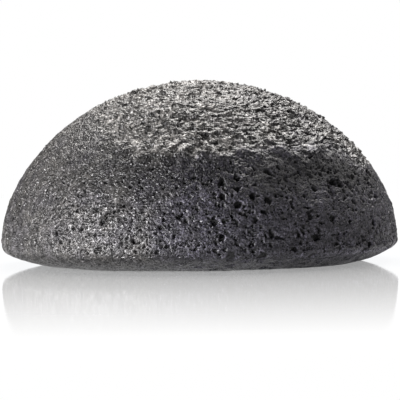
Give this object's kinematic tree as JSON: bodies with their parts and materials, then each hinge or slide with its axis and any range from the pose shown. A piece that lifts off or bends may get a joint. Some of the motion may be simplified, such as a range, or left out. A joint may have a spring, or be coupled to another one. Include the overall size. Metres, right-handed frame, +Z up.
{
  "type": "konjac sponge",
  "caption": "Half-ball facial sponge of charcoal-grey konjac foam: crinkled crown, open-pored side, smooth underside with a flat foot. The crown presses straight down and springs back.",
  "frame": {"origin": "centre of the flat foot that the sponge rests on", "axes": "+Z up along the dome's axis; the picture looks along +Y, so -Y is the front and +X is its right"},
  "size_m": [0.08, 0.08, 0.0372],
  "materials": {
    "smooth_skin": "smooth damp foam skin with a dull sheen and few pores",
    "open_foam": "matte open-celled damp foam",
    "pored_skin": "grainy damp foam skin with open pits and fine glints",
    "crinkled_skin": "crinkled damp foam skin with fine glints"
  },
  "bodies": {
    "sponge": {"base_skin": "smooth_skin", "side_skin": "pored_skin", "foam_core": "open_foam"},
    "crown": {"crown_skin": "crinkled_skin"}
  },
  "joints": [
    {"name": "crown_press", "type": "slide", "parent": "sponge", "child": "crown", "axis": [0, 0, -1], "range_m": [0, 0.013], "stiffness_N_per_m": 280, "deforming": ["foam_core"]}
  ]
}
